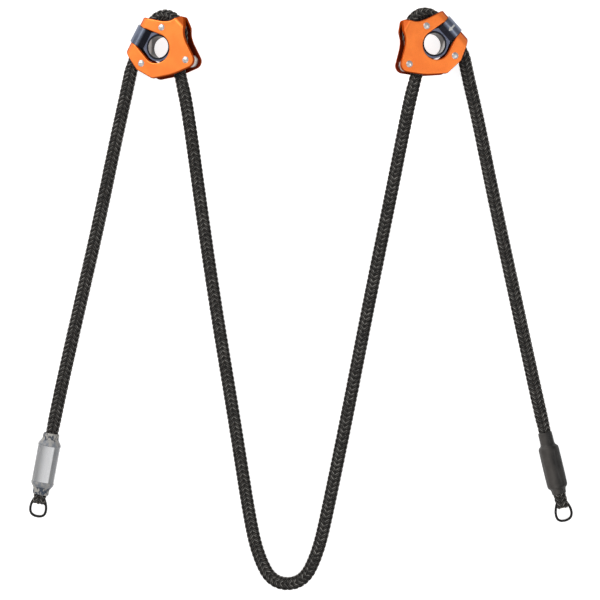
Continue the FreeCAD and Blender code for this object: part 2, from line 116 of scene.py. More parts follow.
def ramp(value, low, high, start=0.0, end=1.0):
    node = value.id_data.nodes.new("ShaderNodeMapRange")
    node.interpolation_type = "SMOOTHSTEP"
    for label, limit in (("From Min", low), ("From Max", high), ("To Min", start), ("To Max", end)):
        node.inputs[label].default_value = limit
    plug(value, node.inputs["Value"])
    return node.outputs[0]


def noiseNode(vector, scale, detail=3.0, roughness=0.5):
    node = vector.id_data.nodes.new("ShaderNodeTexNoise")
    values = {"Vector": vector, "Scale": scale, "Detail": detail, "Roughness": roughness}
    for label, value in values.items():
        plug(value, node.inputs[label])
    return node.outputs["Fac"]


def splitVector(vector):
    node = vector.id_data.nodes.new("ShaderNodeSeparateXYZ")
    plug(vector, node.inputs[0])
    return node.outputs


def objectPlace(tree):
    return tree.nodes.new("ShaderNodeTexCoord").outputs["Object"]


def dress(shader, values, height=None, bump=0.0):
    # sets or links a shader's inputs, and its bump if there is a height
    for label, value in values.items():
        plugColour(value, shader.inputs[label])
    if height:
        node = shader.id_data.nodes.new("ShaderNodeBump")
        node.inputs["Distance"].default_value = bump
        plug(height, node.inputs["Height"])
        plug(node.outputs["Normal"], shader.inputs["Normal"])


def newMaterial(name, colour, roughness, metallic=0.0):
    mat = bpy.data.materials.new(name)
    mat.use_nodes = True
    mat.diffuse_color = (*colour, 1)
    tree = mat.node_tree
    shader = tree.nodes["Principled BSDF"]
    dress(shader, {"Base Color": colour, "Roughness": roughness, "Metallic": metallic})
    return mat, tree, shader


def seenRays(tree, kinds):
    # 1 for the kinds of ray named, 0 for the rest
    path = tree.nodes.new("ShaderNodeLightPath")
    seen = path.outputs[kinds[0]]
    for kind in kinds[1:]:
        seen = mathNode("MAXIMUM", seen, path.outputs[kind])
    return seen


cameraSettings = {
    "spot": (0.0021, -0.2323, 2.2), "widthSeen": 0.5502, "sensor": 36.0, "clipEnd": 50.0,
}


def makeCamera(settings):
    data = bpy.data.cameras.new("camera")
    camera = bpy.data.objects.new("camera", data)
    bpy.context.collection.objects.link(camera)
    camera.location = settings["spot"]
    data.sensor_width = settings["sensor"]
    data.lens = settings["sensor"] * settings["spot"][2] / settings["widthSeen"]
    data.clip_end = settings["clipEnd"]
    bpy.context.scene.camera = camera


lampSettings = {
    "key": {"spot": (-1.20, 1.00, 0.95), "size": (0.9, 0.9), "power": 26.0},
    "fill": {"spot": (1.20, -0.35, 1.05), "size": (0.7, 0.7), "power": 6.0},
    "front": {"spot": (-0.10, -1.35, 1.20), "size": (1.1, 0.5), "power": 6.0},
}


def makeLamps(settings, target):
    for name, lamp in settings.items():
        data = bpy.data.lights.new(name, "AREA")
        data.shape = "RECTANGLE"
        data.size, data.size_y = lamp["size"]
        data.energy = lamp["power"]
        thing = bpy.data.objects.new(name, data)
        bpy.context.collection.objects.link(thing)
        thing.location = lamp["spot"]
        away = Vector(target) - thing.location
        thing.rotation_euler = away.to_track_quat("-Z", "Y").to_euler()


skySettings = {
    "lit": {"zenith": (0.56, 0.56, 0.57), "horizon": (0.24, 0.24, 0.25)},
    "seen": {"zenith": (0.80, 0.80, 0.81), "horizon": (1.0, 1.0, 1.0)},
}


def makeSky(settings):
    # the sky that is seen is paler than the one that lights the model and is mirrored in it
    world = bpy.data.worlds.new("studio")
    bpy.context.scene.world = world
    world.use_nodes = True
    tree = world.node_tree
    tree.nodes.clear()
    direction = tree.nodes.new("ShaderNodeTexCoord").outputs["Generated"]
    height = ramp(splitVector(direction)["Z"], 0.0, 1.0)
    lit = mixColour(height, settings["lit"]["horizon"], settings["lit"]["zenith"])
    seen = mixColour(height, settings["seen"]["horizon"], settings["seen"]["zenith"])
    rays = seenRays(tree, ("Is Camera Ray", "Is Transmission Ray"))
    back = tree.nodes.new("ShaderNodeBackground")
    out = tree.nodes.new("ShaderNodeOutputWorld")
    plug(mixColour(rays, lit, seen), back.inputs["Color"])
    plug(back.outputs[0], out.inputs["Surface"])


floorSettings = {
    "reach": 6.0, "below": 0.0007, "colour": (0.55, 0.55, 0.55), "lift": 0.80,
    "roughness": 0.9, "specular": 0.1,
}


def makeFloor(settings, middle):
    bpy.ops.mesh.primitive_plane_add(size=settings["reach"],
                                     location=(middle[0], middle[1], -settings["below"]))
    floor = bpy.context.object
    floor.name = "floor"
    mat, tree, shader = newMaterial("paleFloor", settings["colour"], settings["roughness"])
    rays = seenRays(tree, ("Is Camera Ray", "Is Glossy Ray", "Is Transmission Ray"))
    dress(shader, {"Specular IOR Level": settings["specular"], "Emission Color": (1.0, 1.0, 1.0),
                   "Emission Strength": product(rays, settings["lift"])})
    floor.data.materials.append(mat)


middle = (cadBox[0] + cadBox[1]) / 2
bpy.context.scene.view_settings.view_transform = "Standard"
makeCamera(cameraSettings)
makeLamps(lampSettings, (middle.x, middle.y, 0))
makeSky(skySettings)
makeFloor(floorSettings, middle)
print("camera, lamps and floor ready")


def newGroup(name, inputs, outputs):
    group = bpy.data.node_groups.new(name, "ShaderNodeTree")
    for label, kind, value in inputs:
        socket = group.interface.new_socket(label, in_out="INPUT", socket_type="NodeSocket" + kind)
        socket.default_value = value
    for label in outputs:
        group.interface.new_socket(label, in_out="OUTPUT", socket_type="NodeSocketFloat")
    return group, group.nodes.new("NodeGroupInput"), group.nodes.new("NodeGroupOutput")


def placeGroup(tree, group, values):
    node = tree.nodes.new("ShaderNodeGroup")
    node.node_tree = group
    for label, value in values.items():
        plug(value, node.inputs[label])
    return node.outputs


blastedSettings = {
    "fineness": 2600.0, "grain": (4.0, 0.65), "drift": (70.0, 2.0), "pits": (900.0, 2.0, 0.6),
    "pitShare": 0.6,
}
turnedSettings = {"pitch": 0.3 * mm, "ringScale": 1.0, "ringDetail": 3.0, "smears": (500.0, 3.0)}
facingSettings = {"step": (0.60, 0.97)}


def makeBlastedGroup(settings):
    # the fine matt grain of blasted and anodised sheet, with a slow drift of tone
    inputs = [("Vector", "Vector", (0, 0, 0)), ("Fineness", "Float", settings["fineness"])]
    group, start, end = newGroup("blastedSheet", inputs, ["Grain", "Drift", "Height"])
    place = start.outputs["Vector"]
    grain = noiseNode(place, start.outputs["Fineness"], *settings["grain"])
    drift = noiseNode(place, *settings["drift"])
    pits = noiseNode(place, *settings["pits"])
    height = mathNode("ADD", grain, product(pits, settings["pitShare"]))
    for label, value in (("Grain", grain), ("Drift", drift), ("Height", height)):
        plug(value, end.inputs[label])
    return group


def makeTurnedGroup(settings):
    # the fine rings that a lathe leaves round an axis
    inputs = [("Vector", "Vector", (0, 0, 0)), ("Axis", "Vector", (0, 0, 1)),
              ("Pitch", "Float", settings["pitch"])]
    group, start, end = newGroup("turnedRings", inputs, ["Rings", "Smears"])
    along = dotNode(start.outputs["Vector"], start.outputs["Axis"])
    rings = group.nodes.new("ShaderNodeTexNoise")
    rings.noise_dimensions = "1D"
    rings.inputs["Scale"].default_value = settings["ringScale"]
    rings.inputs["Detail"].default_value = settings["ringDetail"]
    plug(mathNode("DIVIDE", along, start.outputs["Pitch"]), rings.inputs["W"])
    plug(rings.outputs["Fac"], end.inputs["Rings"])
    smears = noiseNode(start.outputs["Vector"], *settings["smears"])
    plug(smears, end.inputs["Smears"])
    return group


def makeFacingGroup(settings):
    # 1 on faces square to an axis, 0 on the rims that run along it
    group, start, end = newGroup("facingAxis", [("Axis", "Vector", (0, 0, 1))], ["Face"])
    normal = group.nodes.new("ShaderNodeNewGeometry").outputs["Normal"]
    along = dotNode(normal, start.outputs["Axis"])
    face = ramp(mathNode("ABSOLUTE", along), *settings["step"])
    plug(face, end.inputs["Face"])
    return group


blastedSheet = makeBlastedGroup(blastedSettings)
turnedRings = makeTurnedGroup(turnedSettings)
facingAxis = makeFacingGroup(facingSettings)


ropeSettings = {
    "radius": 5.85 * mm, "carriers": 8, "lead": 35.0 * mm, "floatWidth": 2.75 * mm,
    "floatThickness": 1.25 * mm, "floatDip": 0.80 * mm, "overlap": 0.20, "coreRadius": 4.8 * mm,
    "coreSides": 20, "coreStep": 2.5 * mm, "turn": math.pi / 4, "plump": 0.34 * mm,
    "plumpReach": 12 * mm, "stopLengths": (67 * mm, 73 * mm), "firstSeed": 11,
}
pullSettings = {
    "radius": 1.22 * mm, "carriers": 4, "lead": 5.2 * mm, "floatWidth": 0.98 * mm,
    "floatThickness": 0.24 * mm, "floatDip": 0.16 * mm, "overlap": 0.25, "coreRadius": 1.04 * mm,
    "coreSides": 12, "coreStep": 0.8 * mm, "turn": 0.4, "plump": 0.0, "plumpReach": 1 * mm,
    "firstSeed": 31,
}
# one float from end to end and across; its ends dive and its two plies stand up beside a groove
floatShape = {
    "share": (0.0, 0.1, 0.28, 0.5, 0.72, 0.9, 1.0),
    "swell": (0.26, 0.66, 0.95, 1.0, 0.95, 0.66, 0.26),
    "rise": (0.0, 0.46, 0.90, 1.0, 0.90, 0.46, 0.0), "across": (-1.0, -0.52, 0.0, 0.52, 1.0, 0.0),
    "lift": (-0.15, 0.92, 0.22, 0.92, -0.15, -0.9), "pastEnd": 0.04, "unevenDip": 0.10,
    "sunk": 0.85, "thinnest": 0.45, "curl": 0.6,
}
lineSettings = {"order": 3, "resolution": 24}

# the rope's route, from its left end through both grabs to its right end, in millimetres
ropeRoute = [
    (-236.3, -417.6, 10.7), (-223.6, -348.8, 10.7), (-206.6, -270.6, 9.8), (-182.3, -163.7, 5.5),
    (-166.3, -85.9, 5.5), (-156.6, -42.3, 5.6), (-150.7, -15.1, 8.2), (-136.2, 11.9, 14.4),
    (-129.1, 24.6, 17.4), (-116.6, 26.9, 22.7), (-105.2, 15.9, 27.6), (-105.0, -3.4, 27.6),
    (-108.5, -14.9, 26.1), (-108.0, -21.4, 26.4), (-105.3, -33.4, 27.0), (-101.2, -52.0, 26.0),
    (-96.3, -85.1, 20.5), (-88.5, -145.5, 9.5), (-76.1, -232.3, 5.5), (-57.2, -346.7, 5.5),
    (-45.2, -424.5, 5.5), (-37.2, -463.8, 5.5), (-23.1, -491.7, 5.5), (4.4, -491.7, 5.5),
    (18.6, -463.8, 5.5), (28.4, -419.9, 5.5), (44.4, -342.1, 5.5), (65.7, -232.3, 5.5),
    (83.4, -145.5, 8.0), (95.2, -84.8, 15.5), (101.5, -52.5, 20.0), (106.7, -31.9, 21.5),
    (109.7, -21.4, 20.6), (109.4, -15.3, 20.7), (103.3, -5.0, 22.4), (99.2, 13.8, 23.6),
    (108.4, 27.4, 21.0), (121.6, 28.3, 17.2), (131.6, 17.7, 14.3), (150.4, -3.0, 8.9),
    (155.0, -25.7, 7.2), (165.0, -67.6, 5.5), (179.6, -140.8, 5.5), (207.1, -268.9, 8.5),
    (224.2, -347.8, 9.4), (241.9, -421.7, 9.4),
]
leftPullRoute = [
    (-231.1, -414.5, 10.7), (-229.0, -421.5, 8.5), (-232.6, -431.5, 1.2),
    (-244.8, -429.3, 1.2), (-244.5, -418.6, 8.5), (-240.1, -412.8, 10.7),
]
rightPullRoute = [
    (245.4, -416.7, 9.4), (250.2, -422.3, 7.5), (251.0, -432.9, 1.2),
    (238.9, -435.8, 1.2), (234.8, -426.0, 7.5), (236.5, -418.9, 9.4),
]


def routeLine(name, points):
    # the smooth line through a route, as the points of its own spline
    data = bpy.data.curves.new(name, "CURVE")
    data.dimensions = "3D"
    spline = data.splines.new("NURBS")
    spline.points.add(len(points) - 1)
    for point, (x, y, z) in zip(spline.points, points):
        point.co = (x * mm, y * mm, z * mm, 1)
    spline.order_u = lineSettings["order"]
    spline.use_endpoint_u = True
    spline.resolution_u = lineSettings["resolution"]
    thing = bpy.data.objects.new(name, data)
    mesh = bpy.data.meshes.new_from_object(thing)
    line = np.array([vertex.co[:] for vertex in mesh.vertices])
    bpy.data.objects.remove(thing)
    bpy.data.curves.remove(data)
    bpy.data.meshes.remove(mesh)
    return line


class Line:
    # a line with the distance along it and a frame at each point that doesn't twist

    def __init__(self, points):
        self.points = points
        steps = np.linalg.norm(np.diff(points, axis=0), axis=1)
        self.along = np.concatenate([[0], np.cumsum(steps)])
        self.length = self.along[-1]
        ahead = np.gradient(points, self.along, axis=0)
        self.ahead = ahead / np.linalg.norm(ahead, axis=1)[:, None]
        side = np.array((0.0, 0.0, 1.0))
        sides = []
        for direction in self.ahead:
            side = side - direction * side.dot(direction)
            side = side / np.linalg.norm(side)
            sides.append(side)
        self.up = np.array(sides)

    def at(self, place):
        def read(table):
            return np.stack([np.interp(place, self.along, table[:, k]) for k in range(3)], axis=-1)

        ahead = read(self.ahead)
        up = read(self.up)
        up = up - ahead * np.sum(up * ahead, axis=-1, keepdims=True)
        up = up / np.linalg.norm(up, axis=-1, keepdims=True)
        return read(self.points), up, np.cross(ahead, up)

    def nearest(self, point):
        return self.along[np.argmin(np.linalg.norm(self.points - np.array(point), axis=1))]


def plumpness(places, held, settings):
    # the rope stands a little fuller where no grab or stop holds it
    away = np.full(np.shape(places), 1.0)
    for low, high in held:
        away = np.minimum(away, np.maximum(np.maximum(low - places, places - high), 0.0))
    share = np.clip(away / settings["plumpReach"], 0.0, 1.0)
    return settings["plump"] * share * share * (3 - 2 * share)


def floatStarts(start, end, settings):
    # round the rope, columns where one way's carriers lie on top alternate with the other way's;
    # a piece that starts at the rope's own end also gets the floats that begin before it
    carriers, lead = settings["carriers"], settings["lead"]
    column = 2 * math.pi / carriers
    length = lead / carriers
    starts = []
    for way in (1, -1):
        for carrier in range(carriers):
            for number in range(int(end / lead * carriers / 2) + carriers + 2):
                own = column * carrier
                angle = 2 * column * (number - carriers) - way * own
                place = angle / (2 * math.pi) * lead
                before = length if start == 0 else 0.0
                if start - before <= place + length / 2 < end:
                    starts.append((way, own, place))
    return np.array(starts)


def braidFloats(line, start, end, settings, seed, held):
    # each carrier is seen as a row of leaf-shaped floats, whose ends dive under their neighbours
    lead = settings["lead"]
    length = lead / settings["carriers"]
    half, thick = settings["floatWidth"] / 2, settings["floatThickness"] / 2
    share, swell, rise, across, lift = (
        np.array(floatShape[name]) for name in ("share", "swell", "rise", "across", "lift"))
    rng = np.random.default_rng(seed)
    last = line.length + length if end >= line.length else end
    ways, owns, places = floatStarts(start, last, settings).T
    count = len(places)
    stretch = share * (1 + 2 * settings["overlap"]) - settings["overlap"]
    t = places[:, None] + stretch[None, :] * length
    onLine = np.clip(t, 0.0, line.length)
    t = onLine + (t - onLine) * floatShape["pastEnd"]
    theta = ways[:, None] * 2 * math.pi * t / lead + owns[:, None] + settings["turn"]
    centre, up, side = line.at(t)
    forward = np.cross(up, side)
    outward = np.cos(theta)[..., None] * up + np.sin(theta)[..., None] * side
    sideways = np.cos(theta)[..., None] * side - np.sin(theta)[..., None] * up
    outer = settings["radius"] - thick * floatShape["sunk"]
    fuller = plumpness(t, held, settings)
    uneven = rng.uniform(0, floatShape["unevenDip"], count)
    dip = settings["floatDip"] * ((1 - rise)[None, :] + uneven[:, None])
    slope = 2 * math.pi * outer / lead
    run = math.sqrt(1 + slope * slope)
    cross = (sideways - ways[:, None, None] * slope * forward) / run
    spot = centre + outward * (outer + fuller - dip)[..., None]
    reach = across[None, None, :] * (half * swell)[None, :, None]
    thickness = thick * (floatShape["thinnest"] + (1 - floatShape["thinnest"]) * swell)
    curl = reach ** 2 / (2 * outer) * floatShape["curl"]
    rises = lift[None, None, :] * thickness[None, :, None] - curl
    ring = (spot[:, :, None, :] + cross[:, :, None, :] * reach[..., None]
            + outward[:, :, None, :] * rises[..., None])
    perRing, rings = len(across), len(share)
    first = (np.arange(count) * perRing * rings)[:, None, None]
    row = (np.arange(rings - 1) * perRing)[None, :, None]
    here = np.arange(perRing)[None, None, :]
    after = (np.arange(perRing) + 1)[None, None, :] % perRing
    quads = np.stack([first + row + here, first + row + after, first + row + after + perRing,
                      first + row + here + perRing], axis=-1).reshape(-1, 4).tolist()
    for base in first.ravel().tolist():
        quads.append([base + corner for corner in reversed(range(perRing))])
        quads.append([base + perRing * (rings - 1) + corner for corner in range(perRing)])
    grown = np.ones((count, rings, perRing))
    lengthwise = grown * share[None, :, None]
    crosswise = grown * 0.5 + 0.5 * across * ways[:, None, None]
    tone = grown * rng.uniform(0, 1, count)[:, None, None]
    return ring.reshape(-1, 3), quads, lengthwise.ravel(), crosswise.ravel(), tone.ravel()


def coreTube(line, start, end, settings, held):
    sides = settings["coreSides"]
    count = max(3, int((end - start) / settings["coreStep"]))
    places = np.linspace(start, end, count)
    centre, up, side = line.at(places)
    angle = np.linspace(0, 2 * math.pi, sides, endpoint=False)
    outward = (np.cos(angle)[None, :, None] * up[:, None, :]
               + np.sin(angle)[None, :, None] * side[:, None, :])
    radius = settings["coreRadius"] + plumpness(places, held, settings)
    vertices = (centre[:, None, :] + outward * radius[:, None, None]).reshape(-1, 3)
    faces = []
    for row in range(count - 1):
        for column in range(sides):
            here = row * sides + column
            beside = row * sides + (column + 1) % sides
            faces.append((here, beside, beside + sides, here + sides))
    faces.append(tuple(reversed(range(sides))))
    faces.append(tuple((count - 1) * sides + column for column in range(sides)))
    return vertices, faces


def braidPiece(name, line, start, end, settings, materials, seed, held=()):
    floats, faces, lengthwise, crosswise, tone = braidFloats(line, start, end, settings, seed, held)
    core, coreFaces = coreTube(line, start, end, settings, held)
    first = len(floats)
    mesh = bpy.data.meshes.new(name)
    allFaces = faces + [tuple(first + corner for corner in face) for face in coreFaces]
    mesh.from_pydata(np.concatenate([floats, core]).tolist(), [], allFaces)
    for mat in materials:
        mesh.materials.append(mat)
    kinds = np.zeros(len(mesh.polygons), np.int32)
    kinds[len(faces):] = 1
    mesh.polygons.foreach_set("material_index", kinds)
    mesh.polygons.foreach_set("use_smooth", np.ones(len(mesh.polygons), bool))
    plenty = len(core)
    values = np.concatenate([tone, np.full(plenty, 0.5)])
    mesh.attributes.new("tone", "FLOAT", "POINT").data.foreach_set("value", values)
    corner = np.zeros(len(mesh.loops), np.int32)
    mesh.loops.foreach_get("vertex_index", corner)
    u = np.concatenate([lengthwise, np.zeros(plenty)])[corner]
    v = np.concatenate([crosswise, np.zeros(plenty)])[corner]
    layer = mesh.uv_layers.new(name="alongYarn")
    layer.data.foreach_set("uv", np.stack([u, v], axis=1).ravel())
    mesh.validate()
    piece = bpy.data.objects.new(name, mesh)
    bpy.context.collection.objects.link(piece)
    return piece


yarnSettings = {
    "dark": (0.003, 0.003, 0.0032), "mid": (0.011, 0.0115, 0.0115), "brown": (0.027, 0.0235, 0.020),
    "paintedHighlight": (0.31, 0.30, 0.275), "edge": (0.21, 0.178, 0.148), "roughness": 0.62,
    "toneShift": 61.0, "fibreScale": (3.0, 17.0, 1.0), "fibreNoise": (4.0, 0.62),
    "patchScale": (3.2, 3.6, 1.0), "patchDetail": 2.0, "plyCrown": 0.25, "ridge": (0.21, 0.03),
    "top": (0.42, 0.05), "browner": (0.42, 0.62), "fibreShade": (0.28, 0.62),
    "endShade": (0.5, 0.2), "forwardPly": (0.62, 0.38, 0.30, 1.0), "litFibres": (0.34, 0.56),
    "toneShare": 0.2, "uneven": (0.40, 0.68, 0.08, 1.0), "edgeOn": (0.36, 0.76, 0.0, 0.85),
    "edgeFibres": (0.36, 0.60), "sheen": 0.06, "sheenTint": (0.85, 0.76, 0.68),
    "sheenRoughness": 0.4, "specular": 0.16, "ridgeHeight": 0.8, "bump": 0.16 * mm,
}
pullYarnSettings = {**yarnSettings, "paintedHighlight": (0.09, 0.085, 0.08), "edge": (0.03, 0.027, 0.024)}
coreSettings = {
    "colour": (0.010, 0.010, 0.010), "dark": (0.003, 0.003, 0.003), "roughness": 0.95,
    "grain": 900.0,
}


def makeYarn(name, look):
    # two twisted plies with a groove between them; a painted highlight lies where a float stands
    # highest, and painted shade darkens the groove and the float ends
    mat, tree, shader = newMaterial(name, look["mid"], look["roughness"])
    place = tree.nodes.new("ShaderNodeUVMap")
    place.uv_map = "alongYarn"
    tone = tree.nodes.new("ShaderNodeAttribute")
    tone.attribute_name = "tone"
    split = splitVector(place.outputs[0])
    own = tree.nodes.new("ShaderNodeCombineXYZ")
    shift = product(tone.outputs["Fac"], look["toneShift"])
    for label, value in (("X", split["X"]), ("Y", split["Y"]), ("Z", shift)):
        plug(value, own.inputs[label])
    twisted = vectorNode("MULTIPLY", own.outputs[0], look["fibreScale"])
    fibres = noiseNode(twisted, 1.0, *look["fibreNoise"])
    blotched = vectorNode("MULTIPLY", own.outputs[0], look["patchScale"])
    patches = noiseNode(blotched, 1.0, look["patchDetail"])
    fromCrown = awayFrom(awayFrom(split["Y"], 0.5), look["plyCrown"])
    ridge = ramp(fromCrown, *look["ridge"])
    fromTop = awayFrom(split["X"], 0.5)
    top = ramp(fromTop, *look["top"])
    browner = mixColour(ramp(patches, *look["browner"]), look["mid"], look["brown"])
    # painted shade: the groove between the plies and the float ends, where they dive under their
    # neighbours, go to the dark colour, broken by fibre noise
    depth = product(ramp(fibres, *look["fibreShade"]), ridge, ramp(fromTop, *look["endShade"]))
    base = mixColour(depth, look["dark"], browner)
    blotches = mathNode("ADD", patches, product(tone.outputs["Fac"], look["toneShare"]))
    # painted highlight: the pale colour goes on each float's crown and forward ply, broken by
    # fibres and patches
    lit = product(top, ridge, ramp(split["Y"], *look["forwardPly"]),
                  ramp(fibres, *look["litFibres"]), ramp(blotches, *look["uneven"]))
    colour = mixColour(lit, base, look["paintedHighlight"])
    # painted sheen: seen edge on, the yarn is painted paler and browner, as light wrapping round
    # the rope, broken by fibre noise
    edge = tree.nodes.new("ShaderNodeLayerWeight")
    paintedGrazingSheen = product(ramp(edge.outputs["Facing"], *look["edgeOn"]), ramp(fibres, *look["edgeFibres"]))
    height = mathNode("ADD", product(ridge, look["ridgeHeight"]), fibres)
    dress(shader, {
        "Base Color": mixColour(paintedGrazingSheen, colour, look["edge"]),
        "Sheen Weight": look["sheen"],
        "Sheen Tint": look["sheenTint"],
        "Sheen Roughness": look["sheenRoughness"],
        "Specular IOR Level": look["specular"],
    }, height, look["bump"])
    return mat


def makeCore(look):
    mat, tree, shader = newMaterial("ropeCore", look["colour"], look["roughness"])
    rough = noiseNode(objectPlace(tree), look["grain"])
    dress(shader, {"Base Color": mixColour(rough, look["dark"], look["colour"])})
    return mat


ropeYarn = makeYarn("charcoalYarn", yarnSettings)
pullYarn = makeYarn("blackYarn", pullYarnSettings)
ropeCore = makeCore(coreSettings)

ropeLine = Line(routeLine("ropeLine", ropeRoute))
# where the free rope enters each grab, and where it leaves over the roller
leftRoller, leftWayIn = (-0.1053, -0.0334, 0.027), (-0.1507, -0.0151, 0.0082)
rightRoller, rightWayIn = (0.1067, -0.0319, 0.0215), (0.1504, -0.003, 0.0089)
ropeCuts = [0.0] + [ropeLine.nearest(spot)
                    for spot in (leftWayIn, leftRoller, rightRoller, rightWayIn)]
ropeCuts.append(ropeLine.length)
firstStop, lastStop = ropeSettings["stopLengths"]
heldSpans = [(0.0, firstStop), tuple(ropeCuts[1:3]), tuple(ropeCuts[3:5]),
             (ropeLine.length - lastStop, ropeLine.length)]
ropeNames = ["leftFreeRope", "ropeInLeftGrab", "ropeLoop", "ropeInRightGrab", "rightFreeRope"]
for number, name in enumerate(ropeNames):
    low, high = ropeCuts[number], ropeCuts[number + 1]
    piece = braidPiece(name, ropeLine, low, high, ropeSettings, [ropeYarn, ropeCore],
                       ropeSettings["firstSeed"] + number, heldSpans)
    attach(piece, "lanyard")
    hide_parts("rope")
    print(name, round(high - low, 4), "m,", len(piece.data.polygons), "faces")

for side, route in (("left", leftPullRoute), ("right", rightPullRoute)):
    pullLine = Line(routeLine(side + "PullLine", route))
    name = side + "PullCord"
    piece = braidPiece(name, pullLine, 0.0, pullLine.length, pullSettings, [pullYarn, ropeCore],
                       pullSettings["firstSeed"])
    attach(piece, "lanyard")
    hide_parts(side + "_pull_cord")
    print(name, round(pullLine.length, 4), "m")


def eyeAxis(side):
    return mounts[side + "_eye"]["axis"]


def fromEye(tree, side):
    return vectorNode("SUBTRACT", objectPlace(tree), mounts[side + "_eye"]["pos_m"])


def facingIn(tree, side):
    # positive on faces that look towards the middle of the grab, negative on those that look out
    outward = dotNode(fromEye(tree, side), eyeAxis(side))
    normal = tree.nodes.new("ShaderNodeNewGeometry").outputs["Normal"]
    looks = dotNode(normal, eyeAxis(side))
    return product(mathNode("SIGN", outward), looks, -1.0)


def flatFace(tree, side):
    return placeGroup(tree, facingAxis, {"Axis": eyeAxis(side)})["Face"]


def tinted(colour, factor):
    return tuple(min(1, share * factor) for share in colour)


orangeSettings = {
    "face": (0.94, 0.215, 0.040), "rimShade": (0.40, 0.055, 0.006), "inside": (0.20, 0.018, 0.003),
    "start": (0.36, 0.6), "paler": 1.16, "drift": (0.35, 0.65), "darker": 0.68,
    "specks": (0.52, 0.68, 0, 0.6), "insideShade": (0.35, 0.75), "roughness": (0.3, 0.7, 0.36, 0.5),
    "metallic": 0.6, "specular": 0.2, "bump": 0.035 * mm,
}


def makeOrange(side, look):
    # the cut rims are dull, and their colour is painted deeper than the blasted face as painted
    # shade on the edge-on sides
    mat, tree, shader = newMaterial(side + "OrangeAnodised", look["face"], *look["start"])
    grain = placeGroup(tree, blastedSheet, {"Vector": objectPlace(tree)})
    facing = flatFace(tree, side)
    face = mixColour(ramp(grain["Drift"], *look["drift"]), look["face"],
                     tinted(look["face"], look["paler"]))
    speck = mixColour(ramp(grain["Grain"], *look["specks"]), face,
                      tinted(look["face"], look["darker"]))
    # painted shade: faces that run along the eye axis get the deeper rim colour
    colour = mixColour(facing, look["rimShade"], speck)
    # painted shade: faces that look into the gap between the plates are painted dark red
    insideShade = ramp(facingIn(tree, side), *look["insideShade"])
    dress(shader, {
        "Base Color": mixColour(insideShade, colour, look["inside"]),
        "Roughness": ramp(grain["Grain"], *look["roughness"]),
        "Metallic": product(facing, look["metallic"]),
        "Specular IOR Level": product(facing, look["specular"]),
    }, grain["Height"], look["bump"])
    return mat


camSettings = {
    "face": (0.145, 0.16, 0.225), "slopeShade": (0.010, 0.010, 0.017), "bend": (0.13, 0.15, 0.205),
    "foldHighlight": (0.40, 0.45, 0.56), "dust": (0.3, 0.31, 0.34), "start": (0.3, 0.85), "fineness": 3200.0,
    "shadowRing": (11.5 * mm, 11.8 * mm), "crease": (12.2 * mm, 12.9 * mm),
    "slopeEnd": (16.6 * mm, 19.6 * mm), "foldPlace": 20.3 * mm,
    "foldHighlightWidth": (1.2 * mm, 0.2 * mm, 0.0, 0.5),
    "dusty": (0.55, 0.8, 0, 0.3), "roughness": (0.3, 0.7, 0.26, 0.4), "bump": 0.012 * mm,
}


def makeCamFinish(side, look):
    # the eye's flat side is mid blue-grey, the sloping strap painted almost black as painted shade,
    # the bridge lighter again; a painted shadow ring lies round the bush and a painted highlight
    # along the fold
    mat, tree, shader = newMaterial(side + "BlueGreyAnodised", look["bend"], *look["start"])
    grain = placeGroup(tree, blastedSheet, {"Vector": objectPlace(tree),
                                            "Fineness": look["fineness"]})
    shift = fromEye(tree, side)
    distance = dotNode(shift, joints[side + "_cam_slide"]["axis"])
    across = vectorNode("CROSS_PRODUCT", shift, eyeAxis(side))
    radius = vectorNode("LENGTH", across, output="Value")
    # painted highlight: a thin pale streak along the bridge's fold
    foldAway = awayFrom(distance, look["foldPlace"])
    # painted shade: the sloping strap starts from this almost black colour
    colour = look["slopeShade"]
    # painted shadow: inside this radius, round the bush, the face keeps the dark colour
    for value, step, over in ((radius, "shadowRing", "face"), (distance, "crease", "slopeShade"),
                              (distance, "slopeEnd", "bend"), (foldAway, "foldHighlightWidth", "foldHighlight"),
                              (grain["Grain"], "dusty", "dust")):
        colour = mixColour(ramp(value, *look[step]), colour, look[over])
    dress(shader, {"Base Color": colour, "Roughness": ramp(grain["Drift"], *look["roughness"])},
          grain["Height"], look["bump"])
    return mat


latheSettings = {
    "metallic": 1.0, "pitch": 0.28 * mm, "bump": 0.02 * mm, "darker": 0.72, "tone": (0.12, 0.4),
    "smears": (0.3, 0.7), "smoother": 0.06, "rougher": 0.1,
}


def makeTurned(name, side, own):
    look = {**latheSettings, **own}
    mat, tree, shader = newMaterial(name, look["colour"], look["roughness"], look["metallic"])
    rings = placeGroup(tree, turnedRings, {"Vector": objectPlace(tree), "Axis": eyeAxis(side),
                                           "Pitch": look["pitch"]})
    tone = ramp(product(rings["Rings"], rings["Smears"]), *look["tone"])
    colour = mixColour(tone, tinted(look["colour"], look["darker"]), look["colour"])
    rough = ramp(rings["Smears"], *look["smears"], look["roughness"] - look["smoother"],
                 look["roughness"] + look["rougher"])
    dress(shader, {"Base Color": colour, "Roughness": rough}, rings["Rings"], look["bump"])
    return mat, tree, shader, colour


bushSettings = {
    "colour": (0.105, 0.10, 0.097), "roughness": 0.34, "metallic": 0.15, "specular": 0.15,
    "end": (0.012, 0.012, 0.016), "boreHighlight": (0.62, 0.61, 0.59),
    "highlightSide": {"left": (-1, 0.05, 0), "right": (0.94, -0.34, 0)},
    "highlightStep": (8.3 * mm, 9.7 * mm, 0.0, 0.85),
}


